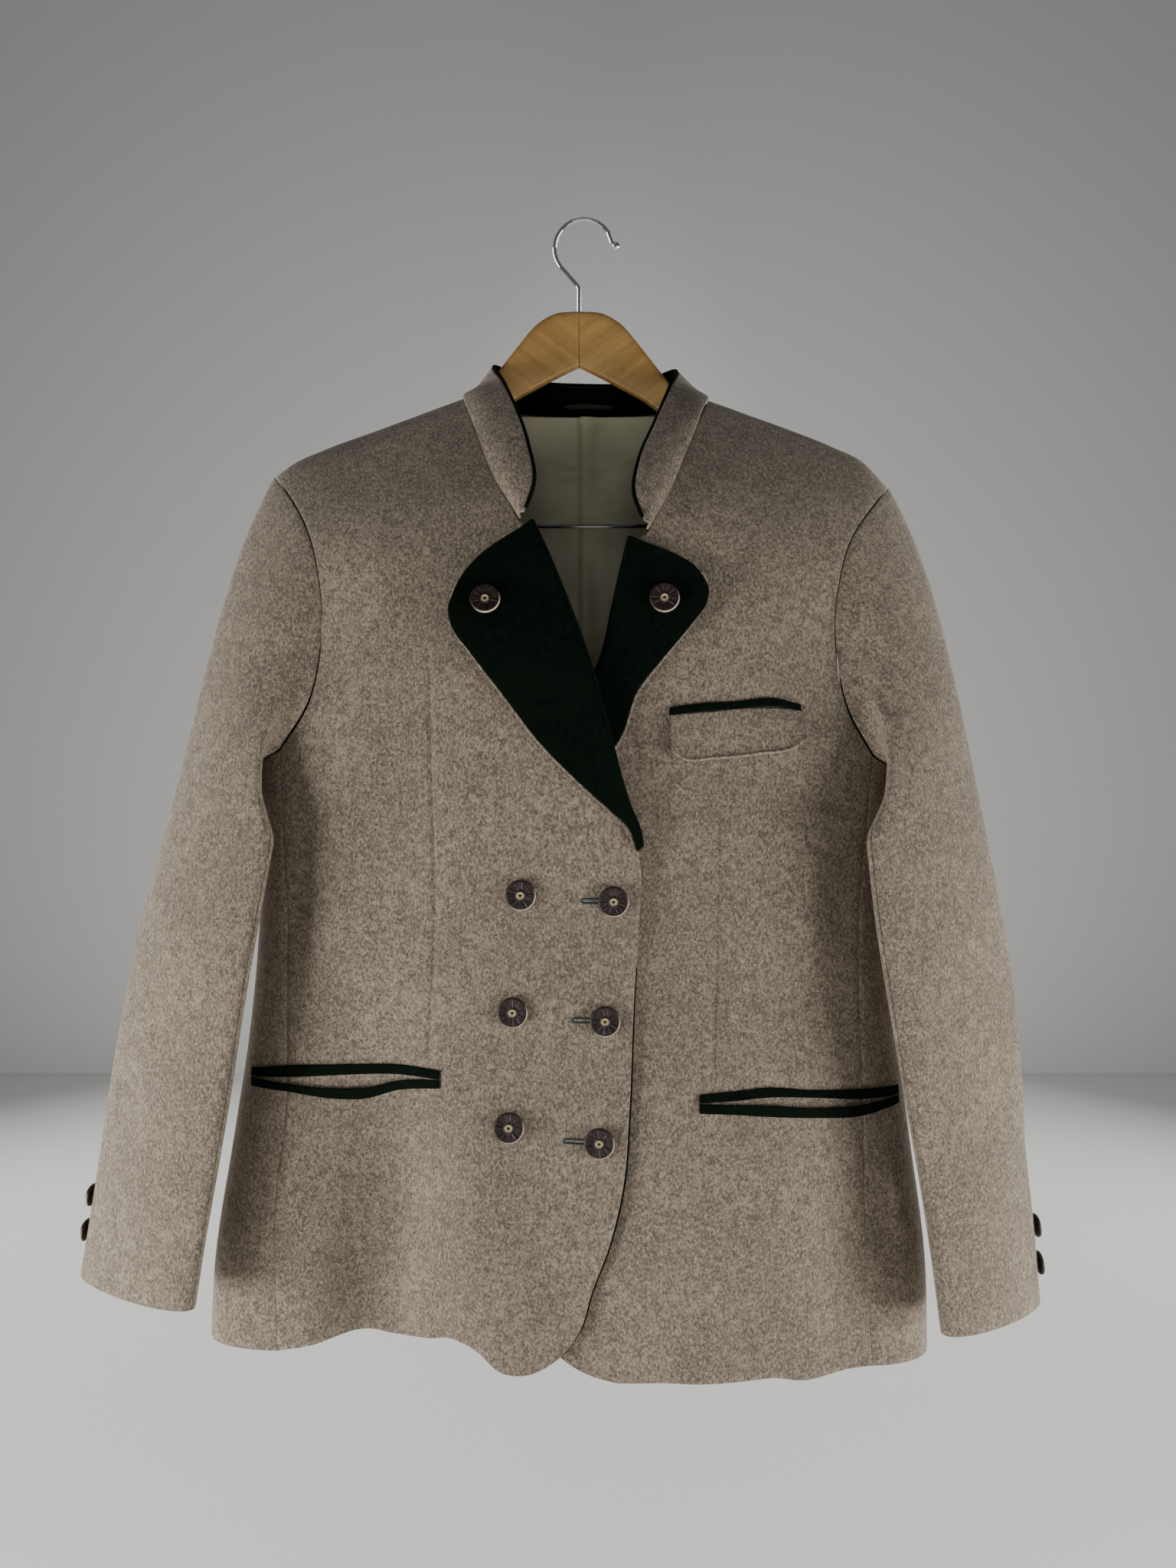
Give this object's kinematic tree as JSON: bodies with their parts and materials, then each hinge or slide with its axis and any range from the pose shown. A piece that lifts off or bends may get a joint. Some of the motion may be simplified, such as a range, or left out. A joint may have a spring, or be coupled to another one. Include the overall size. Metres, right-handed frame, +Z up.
{
  "type": "loden coat on a wooden hanger",
  "caption": "Double breasted waist to hip length loden coat with felt lapels, stand collar, welted pockets and horn buttons, hanging open at neck, hem and cuffs on a wooden hanger.",
  "frame": {"origin": "inner top of the hanger's hook, where a rod or wall hook carries it", "axes": "+Z up, the front faces -Y, +X to the right of someone who looks at the front"},
  "size_m": [0.7662, 0.1447, 0.9173],
  "materials": {
    "loden": "heathered milled wool, matte",
    "green_felt": "dense wool felt, matte",
    "back_lining": "satin",
    "horn": "carved horn, half gloss",
    "beech": "clear lacquer",
    "chrome": "polished"
  },
  "bodies": {
    "root": {"right_front": "loden", "left_front": "loden", "right_side": "loden", "left_side": "loden", "right_back": "loden", "left_back": "loden", "right_top_sleeve": "loden", "right_under_sleeve": "loden", "left_top_sleeve": "loden", "left_under_sleeve": "loden", "right_lapel": "loden", "left_lapel": "loden", "collar": "loden", "chest_flap": "loden", "right_lapel_facing": "green_felt", "left_lapel_facing": "green_felt", "right_edge_facing": "green_felt", "collar_facing": "green_felt", "collar_piping": "green_felt", "right_hip_welt_upper": "green_felt", "right_hip_welt_lower": "green_felt", "left_hip_welt_upper": "green_felt", "left_hip_welt_lower": "green_felt", "chest_welt": "green_felt", "hanger_loop": "green_felt", "back_lining": "back_lining", "button_top_right": "horn", "button_middle_right": "horn", "button_bottom_right": "horn", "button_top_left": "horn", "button_middle_left": "horn", "button_bottom_left": "horn", "button_lapel_right": "horn", "button_lapel_left": "horn", "button_cuff_right_1": "horn", "button_cuff_right_2": "horn", "button_cuff_left_1": "horn", "button_cuff_left_2": "horn", "hanger_arm_right": "beech", "hanger_arm_left": "beech", "hanger_hook": "chrome", "trouser_bar": "chrome"}
  },
  "joints": []
}
